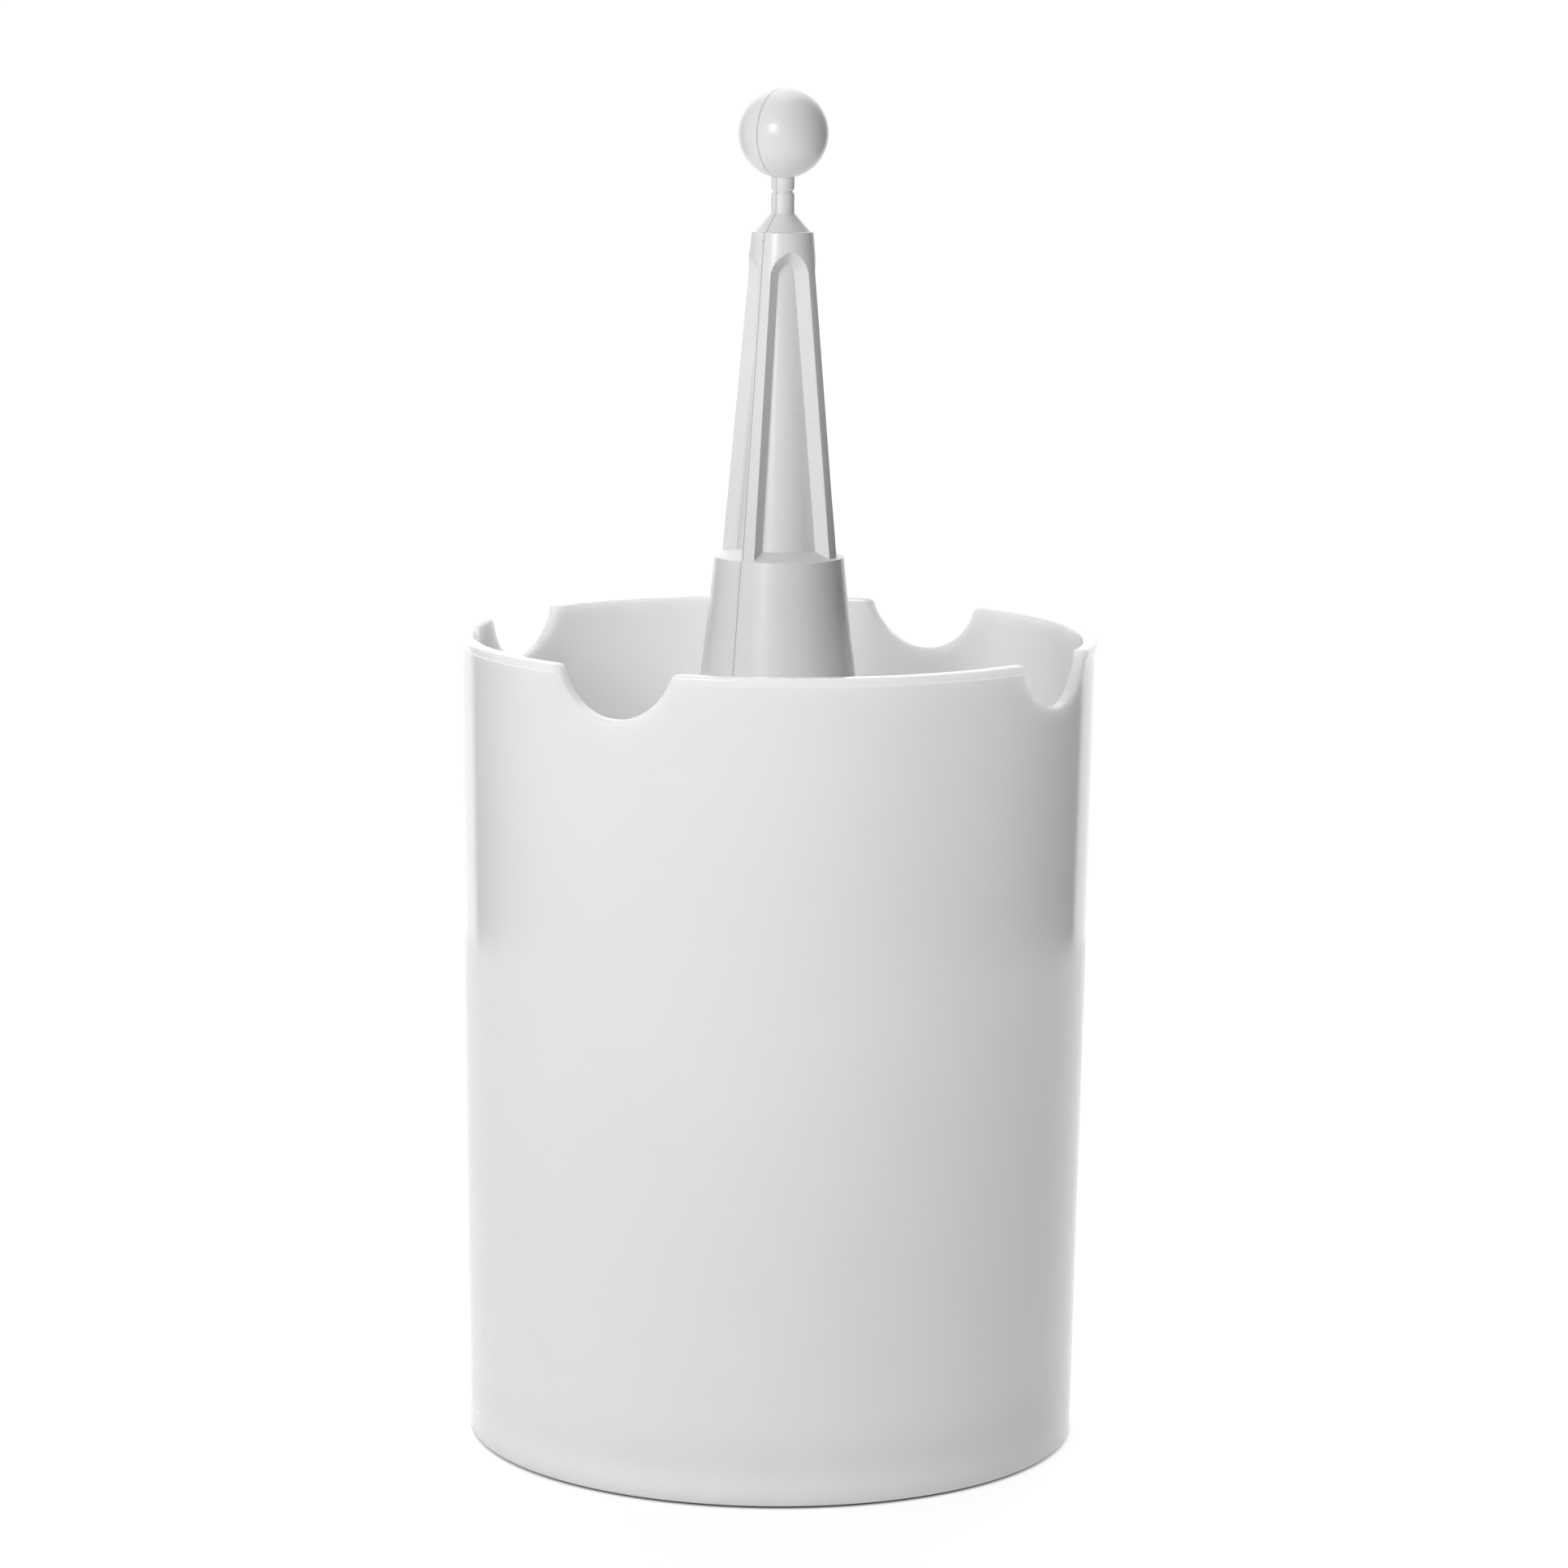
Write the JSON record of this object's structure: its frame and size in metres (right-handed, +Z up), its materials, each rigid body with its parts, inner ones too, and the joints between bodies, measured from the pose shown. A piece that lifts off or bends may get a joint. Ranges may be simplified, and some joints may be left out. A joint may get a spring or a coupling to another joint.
{
  "type": "toilet brush holder",
  "caption": "Tapered plastic pot with a notched, beaded rim and a toilet brush standing in it; the handle is a panelled spire topped by a ball.",
  "frame": {"origin": "on the floor under the middle of the pot", "axes": "+Z up along the pot's and the brush's axis; the four rim notches and the handle's four ribs lie on +X, -X, +Y and -Y"},
  "size_m": [0.1562, 0.1562, 0.3334],
  "materials": {
    "pot_plastic": "glossy white moulded plastic",
    "handle_plastic": "glossy white moulded plastic",
    "tray_plastic": "satin white moulded plastic",
    "core_plastic": "satin white moulded plastic",
    "bristle_nylon": "white nylon bristle",
    "pad_rubber": "matt grey rubber",
    "seal_rubber": "matt black rubber",
    "socket_nylon": "matt natural nylon",
    "steel": "bright stainless wire and rod"
  },
  "bodies": {
    "pot": {"pot": "pot_plastic", "foot_pad_1": "pad_rubber", "foot_pad_2": "pad_rubber", "foot_pad_3": "pad_rubber", "foot_pad_4": "pad_rubber"},
    "tray": {"drip_tray": "tray_plastic"},
    "brush_head": {"brush_core": "core_plastic", "bristle_row_1": "bristle_nylon", "bristle_row_2": "bristle_nylon", "bristle_row_3": "bristle_nylon", "bristle_row_4": "bristle_nylon", "bristle_row_5": "bristle_nylon", "bristle_row_6": "bristle_nylon", "bristle_row_7": "bristle_nylon", "bristle_end": "bristle_nylon", "tuft_staples": "steel"},
    "seal": {"seal_washer": "seal_rubber"},
    "handle": {"handle_shell_left": "handle_plastic", "handle_shell_right": "handle_plastic", "screw_socket": "socket_nylon", "spine_rod": "steel", "cross_pin": "steel"}
  },
  "joints": [
    {"name": "tray_lift", "type": "slide", "parent": "pot", "child": "tray", "axis": [0, 0, 1], "range_m": [0, 0.21]},
    {"name": "brush_lift", "type": "slide", "parent": "tray", "child": "brush_head", "axis": [0, 0, 1], "range_m": [0, 0.21]},
    {"name": "handle_rise", "type": "slide", "parent": "brush_head", "child": "seal", "axis": [0, 0, 1], "range_m": [0, 0.02]},
    {"name": "handle_unscrew", "type": "hinge", "parent": "seal", "child": "handle", "pos_m": [0, 0, 0.104], "axis": [0, 0, 1], "range_deg": [0, 1800]}
  ],
  "couplings": [
    {"joint": "handle_unscrew", "follows": "handle_rise", "rad_per_m": 1570.8}
  ]
}
